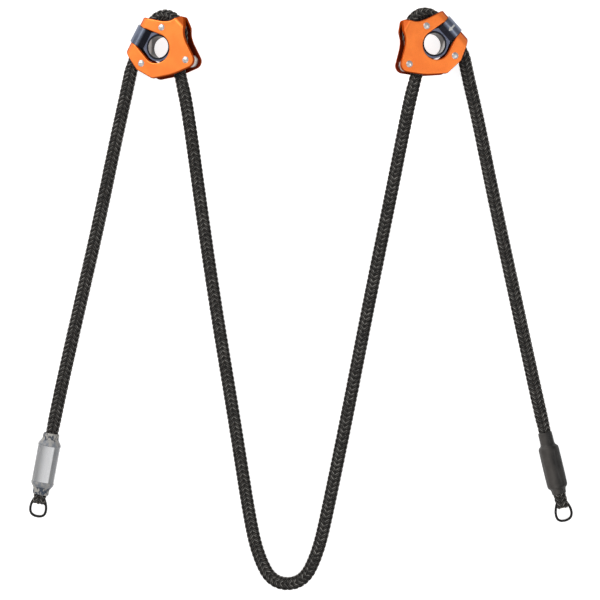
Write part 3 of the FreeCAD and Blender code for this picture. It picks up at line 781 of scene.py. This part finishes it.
def makeBush(side, look):
    # turned bore with a painted highlight streak on one side, and the end face that sits flush in
    # the cam painted dark as a painted shadow gap
    mat, tree, shader, bore = makeTurned(side + "Bush", side, look)
    # painted highlight: a pale streak down one side of the bore
    towards = dotNode(fromEye(tree, side), look["highlightSide"][side])
    bore = mixColour(ramp(towards, *look["highlightStep"]), bore, look["boreHighlight"])
    # painted shadow: the end face, square to the eye axis, is painted nearly black as a shadow gap
    dress(shader, {"Base Color": mixColour(flatFace(tree, side), bore, look["end"]),
                   "Specular IOR Level": look["specular"]})
    return mat


rivetSettings = {
    "colour": (0.74, 0.72, 0.71), "roughness": 0.42, "pitch": 0.6 * mm, "bump": 0.01 * mm,
    "sideShade": 0.34,
}


def makeRivet(side, look):
    # bright domes with their sides painted greyer as painted shade
    mat, tree, shader, dome = makeTurned(side + "Rivet", side, look)
    # painted shade: faces that run along the axis, the dome's sides, are painted greyer
    sideShade = tinted(look["colour"], look["sideShade"])
    dress(shader, {"Base Color": mixColour(flatFace(tree, side), sideShade, dome)})
    return mat


spacerSettings = {"colour": (0.55, 0.54, 0.53), "roughness": 0.35}
rollerSettings = {"colour": (0.62, 0.605, 0.575), "roughness": 0.42}


def setFinish(node, mat):
    thing = frame["nodes"][node]
    for slot in thing.material_slots:
        slot.material = mat
    if not thing.material_slots:
        thing.data.materials.append(mat)


for side in ("left", "right"):
    setFinish(side + "_frame", makeOrange(side, orangeSettings))
    setFinish(side + "_cam", makeCamFinish(side, camSettings))
    setFinish(side + "_eye_bush", makeBush(side, bushSettings))
    rivet = makeRivet(side, rivetSettings)
    for node in ("_top_pin", "_lower_pin", "_roller_axle"):
        setFinish(side + node, rivet)
    spacer = makeTurned(side + "Spacer", side, spacerSettings)[0]
    for node in ("_top_sleeve", "_lower_sleeve"):
        setFinish(side + node, spacer)
    setFinish(side + "_roller", makeTurned(side + "RollerFinish", side, rollerSettings)[0])
    print(side, "grab finished")


def ropeEnd(side):
    # where the rope is cut, and which way it points there
    route = ropeRoute if side == "left" else ropeRoute[::-1]
    end, inner = Vector(route[0]) * mm, Vector(route[1]) * mm
    return end, (end - inner).normalized()


def stopPlace(side):
    # the stop's own place: +Z runs along the rope to its cut end
    end, direction = ropeEnd(side)
    across = Vector((0, 0, 1)).cross(direction).normalized()
    turn = Matrix((across, direction.cross(across), direction)).transposed().to_4x4()
    return Matrix.Translation(end - direction * stopSettings[side]["back"]) @ turn


def turnedShell(name, rings, sides):
    # a ring is extruded from station to station and scaled to each one's radius
    bpy.ops.object.select_all(action="DESELECT")
    height, radius = rings[0]
    bpy.ops.mesh.primitive_circle_add(vertices=sides, radius=radius, location=(0, 0, 0))
    shell = bpy.context.object
    shell.name = name
    bpy.ops.object.mode_set(mode="EDIT")
    bpy.ops.mesh.select_all(action="SELECT")
    bpy.ops.transform.translate(value=(0, 0, height))
    for nextHeight, nextRadius in rings[1:]:
        bpy.ops.mesh.extrude_region_move(
            TRANSFORM_OT_translate={"value": (0, 0, nextHeight - height)})
        share = nextRadius / radius
        bpy.ops.transform.resize(value=(share, share, 1), center_override=(0, 0, nextHeight))
        height, radius = nextHeight, nextRadius
    bpy.ops.mesh.select_all(action="SELECT")
    bpy.ops.mesh.normals_make_consistent(inside=False)
    bpy.ops.object.mode_set(mode="OBJECT")
    return shell


def applyAll(piece):
    bpy.ops.object.select_all(action="DESELECT")
    piece.select_set(True)
    bpy.context.view_layer.objects.active = piece
    for modifier in list(piece.modifiers):
        bpy.ops.object.modifier_apply(modifier=modifier.name)


def smoothed(piece, levels):
    fine = piece.modifiers.new("smooth", "SUBSURF")
    fine.levels = fine.render_levels = levels
    applyAll(piece)


def settle(piece, place, mat, smooth=True):
    # coloured, with its place in its mesh and its object at the origin
    piece.data.transform(place @ piece.matrix_world)
    piece.matrix_world = Matrix.Identity(4)
    piece.data.materials.append(mat)
    for face in piece.data.polygons:
        face.use_smooth = smooth


def waveShell(piece, waves):
    # uneven shrinking: lengthwise folds that fade out where the film is stretched smooth
    for vertex in piece.data.vertices:
        x, y, z = vertex.co
        angle = math.atan2(y, x)
        radius = math.hypot(x, y)
        shift = 0.0
        for low, high, count, depth, phase in waves:
            centre, reach = (low + high) / 2, (high - low) / 2
            fade = max(0.0, 1 - ((z - centre) / reach) ** 2)
            ripple = (math.sin(count * angle + phase)
                      + 0.5 * math.sin((count * 2 + 1) * angle + 2 * phase))
            shift += depth * fade * ripple
        share = (radius + shift) / radius
        vertex.co.x, vertex.co.y = x * share, y * share


stopSettings = {"left": {"back": 36.4 * mm}, "right": {"back": 38.0 * mm}}
# rings: how far along the stop and the radius there, in millimetres;
# waves: from, to, how many round, how deep and turned how far
leftHalf = [
    (28.4, 6.75), (27.9, 7.2), (26.5, 7.3), (24.0, 7.25), (22.8, 7.5), (21.0, 8.7), (19.2, 10.05),
    (18.0, 10.45), (15.0, 10.52), (9.0, 10.5), (3.0, 10.5),
]
leftSleeveSettings = {
    "rings": [(-place, radius) for place, radius in leftHalf] + leftHalf[::-1],
    "waves": [(-30.0, -19.5, 7, 0.08, 0.4), (19.5, 30.0, 6, 0.10, 1.7),
              (-20.0, 20.0, 3, 0.03, 0.9)],
    "wall": 0.45, "sides": 64, "smoothing": 1,
}
rightSleeveSettings = {
    "rings": [
        (-32.4, 5.95), (-32.1, 6.3), (-31.0, 6.4), (-26.0, 6.38), (-22.5, 6.42), (-20.9, 6.6),
        (-19.8, 7.5), (-18.9, 8.7), (-17.8, 9.25), (-15.0, 9.34), (-8.0, 9.33), (0.0, 9.33),
        (8.0, 9.33), (15.0, 9.34), (17.8, 9.25), (18.9, 8.7), (19.8, 7.5), (20.9, 6.6),
        (22.5, 6.4), (24.3, 6.38), (24.9, 6.2), (25.0, 5.9),
    ],
    "waves": [(-33.0, -19.0, 5, 0.10, 0.2), (18.5, 26.0, 6, 0.14, 1.1),
              (-19.0, 19.0, 6, 0.10, 0.5)],
    "wall": 0.5, "sides": 64, "smoothing": 1,
}


def makeSleeve(side, settings, mat, node):
    rings = [(z * mm, r * mm) for z, r in settings["rings"]]
    sleeve = turnedShell(side + "ShrunkSleeve", rings, settings["sides"])
    smoothed(sleeve, settings["smoothing"])
    waves = [(low * mm, high * mm, count, depth * mm, phase)
             for low, high, count, depth, phase in settings["waves"]]
    waveShell(sleeve, waves)
    wall = sleeve.modifiers.new("wall", "SOLIDIFY")
    wall.thickness = settings["wall"] * mm
    wall.offset = -1
    applyAll(sleeve)
    settle(sleeve, stopPlace(side), mat)
    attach(sleeve, "lanyard")
    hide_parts(node)
    return sleeve


def alongStop(tree, side):
    # the place in the stop's own frame, with Z along it
    place = stopPlace(side)
    mapping = tree.nodes.new("ShaderNodeMapping")
    mapping.vector_type = "TEXTURE"
    mapping.inputs["Location"].default_value = place.to_translation()
    mapping.inputs["Rotation"].default_value = place.to_euler()
    plug(objectPlace(tree), mapping.inputs["Vector"])
    return mapping.outputs[0]


filmSettings = {
    "colour": (0.45, 0.45, 0.45), "start": 0.34, "specular": 0.12, "bump": 0.25 * mm,
    "stretch": (1.0, 1.0, 0.7), "creases": (300.0, 3.0, 0.55),
    "overNeck": (20.8 * mm, 22.6 * mm), "overShoulder": (16.4 * mm, 17.4 * mm, 0.10, 0.66),
    "cloudy": (0.44, 0.58, 0.50, 0.92), "neckStep": (0.44, 0.53), "shoulderStep": (0.38, 0.60),
    "neck": ((0.045, 0.065, 0.10), (0.40, 0.385, 0.355)),
    "shoulder": ((0.25, 0.27, 0.30), (0.43, 0.42, 0.40)),
}


def makeClearFilm(look):
    # cloudy clear film: thin over the label, milky and creased over the shoulders and necks
    mat, tree, shader = newMaterial("cloudyFilm", look["colour"], look["start"])
    local = alongStop(tree, "left")
    away = mathNode("ABSOLUTE", splitVector(local)["Z"])
    creases = noiseNode(vectorNode("MULTIPLY", local, look["stretch"]), *look["creases"])
    overNeck = ramp(away, *look["overNeck"])
    alpha = tree.nodes.new("ShaderNodeMix")
    plug(overNeck, alpha.inputs["Factor"])
    plug(ramp(away, *look["overShoulder"]), alpha.inputs["A"])
    plug(ramp(creases, *look["cloudy"]), alpha.inputs["B"])
    neck = mixColour(ramp(creases, *look["neckStep"]), *look["neck"])
    shoulder = mixColour(ramp(creases, *look["shoulderStep"]), *look["shoulder"])
    dress(shader, {
        "Base Color": mixColour(overNeck, shoulder, neck),
        "Alpha": alpha.outputs["Result"],
        "Specular IOR Level": look["specular"],
    }, creases, look["bump"])
    return mat


rubberSettings = {
    "colour": (0.034, 0.032, 0.031), "start": 0.46, "specular": 0.22, "bump": 0.05 * mm,
    "stretch": (1.0, 1.0, 0.12), "streaks": (900.0, 3.0, 0.6), "cloud": (160.0, 3.0),
    "side": (2.6 * mm, -3.4 * mm, 0.0, 0.75), "cloudStep": (0.3, 0.7, 0.0, 0.25),
    "dark": (0.009, 0.0085, 0.008), "pale": (0.066, 0.060, 0.055),
    "roughness": (0.3, 0.7, 0.42, 0.6),
}


def makeRubber(look):
    # one side painted paler as painted light falling from that side, with random paler clouds over
    # it
    mat, tree, shader = newMaterial("shrunkRubber", look["colour"], look["start"])
    local = alongStop(tree, "right")
    streaks = noiseNode(vectorNode("MULTIPLY", local, look["stretch"]), *look["streaks"])
    cloud = noiseNode(local, *look["cloud"])
    # painted light: paler towards one side of the stop, plus random paler clouds
    litSideAndClouds = mathNode("ADD", ramp(splitVector(local)["X"], *look["side"]),
                      ramp(cloud, *look["cloudStep"]))
    dress(shader, {
        "Base Color": mixColour(litSideAndClouds, look["dark"], look["pale"]),
        "Roughness": ramp(streaks, *look["roughness"]),
        "Specular IOR Level": look["specular"],
    }, streaks, look["bump"])
    return mat


foilSettings = {
    "colour": (0.62, 0.625, 0.63), "start": (0.42, 0.5), "bump": 0.01 * mm,
    "stretch": (1.0, 1.0, 0.05), "brushed": (2400.0, 2.0), "brushShare": 0.25,
    "brushColour": (0.60, 0.605, 0.61), "marginTurn": 0.6, "margin": (0.36, 0.33),
    "marginColour": (0.30, 0.305, 0.31), "highlightPlace": 2.8 * mm, "sheen": (11.5 * mm, 0.5 * mm),
    "dark": (0.26, 0.262, 0.265), "pale": (0.90, 0.902, 0.905),
}


def makeFoil(look):
    # blank silver foil with a darker margin along one side and a painted highlight band down its
    # middle
    mat, tree, shader = newMaterial("blankFoil", look["colour"], *look["start"])
    local = alongStop(tree, "left")
    brushed = noiseNode(vectorNode("MULTIPLY", local, look["stretch"]), *look["brushed"])
    split = splitVector(local)
    turn = mathNode("ARCTAN2", split["Y"], split["X"])
    margin = ramp(awayFrom(turn, look["marginTurn"]), *look["margin"])
    # painted highlight: a pale band along the foil, darker towards its sides
    sheen = ramp(awayFrom(split["X"], look["highlightPlace"]), *look["sheen"])
    face = mixColour(sheen, look["dark"], look["pale"])
    face = mixColour(product(brushed, look["brushShare"]), face, look["brushColour"])
    dress(shader, {"Base Color": mixColour(margin, face, look["marginColour"])}, brushed,
          look["bump"])
    return mat


ferruleSettings = {
    "colour": (0.55, 0.56, 0.57), "start": (0.4, 0.95), "roughness": (0.3, 0.7, 0.34, 0.5),
    "darker": 0.9, "bump": 0.015 * mm,
}


def makeSatin(look):
    mat, tree, shader = newMaterial("ferruleSatin", look["colour"], *look["start"])
    grain = placeGroup(tree, blastedSheet, {"Vector": objectPlace(tree)})
    colour = mixColour(grain["Drift"], tinted(look["colour"], look["darker"]), look["colour"])
    dress(shader, {"Base Color": colour, "Roughness": ramp(grain["Grain"], *look["roughness"])},
          grain["Height"], look["bump"])
    return mat


leftSleeve = makeSleeve("left", leftSleeveSettings, makeClearFilm(filmSettings),
                        "left_sleeve")
rightSleeve = makeSleeve("right", rightSleeveSettings, makeRubber(rubberSettings),
                         "right_sleeve")
setFinish("left_label", makeFoil(foilSettings))
ferruleFinish = makeSatin(ferruleSettings)
setFinish("left_ferrule", ferruleFinish)
setFinish("right_ferrule", ferruleFinish)
print("end stops ready")

# steps: how far in each ring of the cap lies and how far it then stands up
cutEndSettings = {
    "radius": 5.0 * mm, "depth": 1.3 * mm, "sides": 28, "upright": 0.9, "sunk": 0.75 * mm,
    "steps": [(0.9 * mm, 0.25 * mm), (1.6 * mm, 0.28 * mm), (1.5 * mm, 0.0)],
    "uneven": 0.16 * mm, "smoothing": 2, "seed": {"left": 3, "right": 5},
}
meltedSettings = {
    "colour": (0.16, 0.14, 0.12), "start": 0.55, "lumps": (700.0, 4.0, 0.6), "step": (0.35, 0.65),
    "dark": (0.03, 0.026, 0.022), "pale": (0.30, 0.25, 0.19), "bump": 0.3 * mm,
}


def makeMelted(look):
    mat, tree, shader = newMaterial("meltedEnd", look["colour"], look["start"])
    lumps = noiseNode(objectPlace(tree), *look["lumps"])
    colour = mixColour(ramp(lumps, *look["step"]), look["dark"], look["pale"])
    dress(shader, {"Base Color": colour}, lumps, look["bump"])
    return mat


def makeCutEnd(side, settings, mat):
    # the sheath and core melted together into a low uneven cap
    bpy.ops.object.select_all(action="DESELECT")
    bpy.ops.mesh.primitive_cylinder_add(vertices=settings["sides"], radius=settings["radius"],
                                        depth=settings["depth"], location=(0, 0, 0))
    cap = bpy.context.object
    cap.name = side + "RopeEnd"
    bpy.ops.object.mode_set(mode="EDIT")
    bpy.ops.mesh.select_mode(type="FACE")
    bpy.ops.mesh.select_all(action="DESELECT")
    bpy.ops.object.mode_set(mode="OBJECT")
    for face in cap.data.polygons:
        face.select = face.normal.z > settings["upright"]
    bpy.ops.object.mode_set(mode="EDIT")
    for inwards, upwards in settings["steps"]:
        bpy.ops.mesh.inset(thickness=inwards)
        bpy.ops.transform.translate(value=(0, 0, upwards))
    bpy.ops.mesh.select_all(action="SELECT")
    bpy.ops.transform.vertex_random(offset=settings["uneven"], seed=settings["seed"][side])
    bpy.ops.object.mode_set(mode="OBJECT")
    smoothed(cap, settings["smoothing"])
    end, direction = ropeEnd(side)
    turn = direction.to_track_quat("Z", "Y").to_matrix().to_4x4()
    settle(cap, Matrix.Translation(end - direction * settings["sunk"]) @ turn, mat)
    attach(cap, "lanyard")
    return cap


melted = makeMelted(meltedSettings)
ropeEnds = {side: makeCutEnd(side, cutEndSettings, melted) for side in ("left", "right")}
print("rope ends ready")

# lengths in millimetres, out from the eye; the head starts as a sliver as wide as the shaft
arrowSettings = {
    "tail": 25.6, "tip": 17.4, "headLength": 3.6, "headHalf": 2.3, "shaftHalf": 0.85,
    "sliver": 0.02, "pointShare": 0.03, "near": 0.01, "cuts": 14,
    "shift": -0.3, "lift": 14.0, "stand": 0.03 * mm,
    "colour": (0.52, 0.52, 0.50), "roughness": 0.6, "worn": (1500.0, 3.0), "wornStep": (0.3, 0.5),
    "darker": 0.7,
}


def makeArrowInk(look):
    mat, tree, shader = newMaterial("arrowInk", look["colour"], look["roughness"])
    worn = ramp(noiseNode(objectPlace(tree), *look["worn"]), *look["wornStep"])
    darker = tinted(look["colour"], look["darker"])
    dress(shader, {"Base Color": mixColour(worn, darker, look["colour"])})
    return mat


def makeArrow(settings):
    # drawn flat above the strap, then laid down on to it
    out = Vector(joints["right_cam_slide"]["axis"]).normalized()
    up = -Vector(eyeAxis("right")).normalized()
    along = up.cross(out)
    eye = Vector(mounts["right_eye"]["pos_m"])
    neck = settings["tip"] + settings["headLength"]
    shaft = settings["tail"] - settings["tip"] - settings["headLength"]
    bpy.ops.object.select_all(action="DESELECT")
    bpy.ops.mesh.primitive_plane_add(size=1.0, location=(0, 0, 0))
    arrow = bpy.context.object
    arrow.name = "camArrow"
    bpy.ops.object.mode_set(mode="EDIT")
    bpy.ops.transform.resize(value=(shaft, 2 * settings["shaftHalf"], 1))
    bpy.ops.transform.translate(value=(settings["tail"] - shaft / 2, 0, 0))
    bpy.ops.mesh.select_mode(type="EDGE")
    bpy.ops.mesh.select_all(action="DESELECT")
    bpy.ops.object.mode_set(mode="OBJECT")
    for edge in arrow.data.edges:
        ends = [arrow.data.vertices[number].co.x for number in edge.vertices]
        edge.select = all(abs(end - neck) < settings["near"] for end in ends)
    bpy.ops.object.mode_set(mode="EDIT")
    bpy.ops.mesh.extrude_region_move(TRANSFORM_OT_translate={"value": (-settings["sliver"], 0, 0)})
    widen = settings["headHalf"] / settings["shaftHalf"]
    bpy.ops.transform.resize(value=(1, widen, 1), center_override=(neck, 0, 0))
    bpy.ops.mesh.extrude_region_move(
        TRANSFORM_OT_translate={"value": (-settings["headLength"], 0, 0)})
    bpy.ops.transform.resize(value=(1, settings["pointShare"], 1), center_override=(neck, 0, 0))
    bpy.ops.mesh.select_all(action="SELECT")
    bpy.ops.mesh.subdivide(number_cuts=settings["cuts"])
    bpy.ops.object.mode_set(mode="OBJECT")
    turn = Matrix((out, along, up)).transposed().to_4x4()
    shift = Vector((0, settings["shift"], settings["lift"])) * mm
    place = Matrix.Translation(eye) @ turn @ Matrix.Translation(shift) @ Matrix.Scale(mm, 4)
    settle(arrow, place, makeArrowInk(settings), smooth=False)
    for vertex in arrow.data.vertices:
        hit, spot, normal, _ = frame["nodes"]["right_cam"].ray_cast(vertex.co.copy(), -up)
        if hit:
            vertex.co = spot + normal * settings["stand"]
    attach(arrow, "right_cam")


makeArrow(arrowSettings)
print("arrow ready")

pathSettings = {"step": 4 * mm, "fewest": 8}


def stretchPath(start, end):
    count = max(pathSettings["fewest"], int((end - start) / pathSettings["step"]))
    return ropeLine.at(np.linspace(start, end, count))[0].tolist()


# each free run: its name, first and last cut, where it leaves the grab, and what its end carries
freeCords = [
    ("leftFreeRope", 0, 1, leftWayIn, "fitting",
     [leftSleeve, frame["nodes"]["left_label"], frame["nodes"]["left_ferrule"], ropeEnds["left"]]),
    ("ropeLoop", 2, 3, leftRoller, "object", []),
    ("rightFreeRope", 4, 5, rightWayIn, "fitting",
     [rightSleeve, frame["nodes"]["right_ferrule"], ropeEnds["right"]]),
]
for name, first, last, wayOut, farEnd, carried in freeCords:
    low, high = ropeCuts[first], ropeCuts[last]
    stretchPath(low, high)
